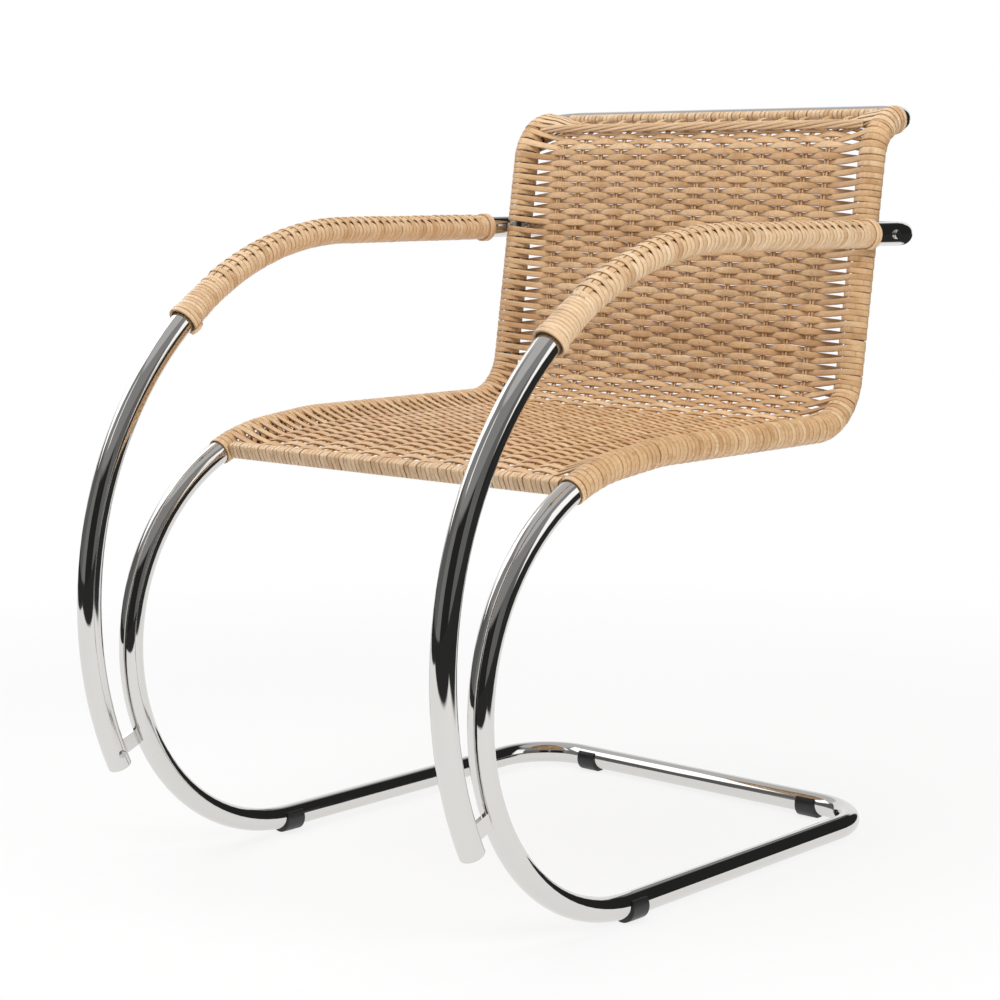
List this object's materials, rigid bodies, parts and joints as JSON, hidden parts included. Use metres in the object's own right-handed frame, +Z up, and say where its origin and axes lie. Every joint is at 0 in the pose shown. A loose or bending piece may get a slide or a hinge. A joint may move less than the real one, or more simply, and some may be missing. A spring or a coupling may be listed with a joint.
{
  "type": "cantilever armchair",
  "caption": "Cantilever armchair of bent chromed steel tube with a woven cane seat and back, cane-wrapped arms and black glides; stands free on the floor.",
  "frame": {"origin": "middle of the chair's box, on the floor", "axes": "+Z up, -Y the way the sitter faces, +X the sitter's left"},
  "size_m": [0.5754, 0.7782, 0.8012],
  "materials": {
    "chrome_tube": "polished chrome plate",
    "steel_screw": "zinc plated",
    "black_plastic": "moulded, satin",
    "rattan_cane": "clear lacquered cane strip",
    "rattan_weave": "clear lacquered cane, woven"
  },
  "bodies": {
    "root": {"floor_bar_splice": "steel_screw", "top_bar_splice": "steel_screw", "arm_bar_splice": "steel_screw", "seat_front_bar": "steel_screw", "seat_front_wrap": "rattan_cane", "woven_seat": "rattan_weave", "woven_back": "rattan_weave", "border_rod": "rattan_cane", "border_braid": "rattan_cane", "side_frame_left": "chrome_tube", "side_frame_right": "chrome_tube", "arm_tube_left": "chrome_tube", "arm_tube_right": "chrome_tube", "arm_lug_left": "chrome_tube", "arm_lug_right": "chrome_tube", "lug_screw_left": "steel_screw", "lug_screw_right": "steel_screw", "arm_plug_left": "chrome_tube", "arm_plug_right": "chrome_tube", "arm_spacer_left": "steel_screw", "arm_spacer_right": "steel_screw", "arm_bolt_left": "steel_screw", "arm_bolt_right": "steel_screw", "arm_nut_left": "steel_screw", "arm_nut_right": "steel_screw", "front_glide_left": "black_plastic", "front_glide_right": "black_plastic", "rear_glide_left": "black_plastic", "rear_glide_right": "black_plastic", "seat_wrap_left": "rattan_cane", "seat_wrap_right": "rattan_cane", "back_wrap_left": "rattan_cane", "back_wrap_right": "rattan_cane", "arm_wrap_left": "rattan_cane", "arm_wrap_right": "rattan_cane", "arm_front_binding_left": "rattan_cane", "arm_front_binding_right": "rattan_cane", "arm_rear_binding_left": "rattan_cane", "arm_rear_binding_right": "rattan_cane"}
  },
  "joints": []
}
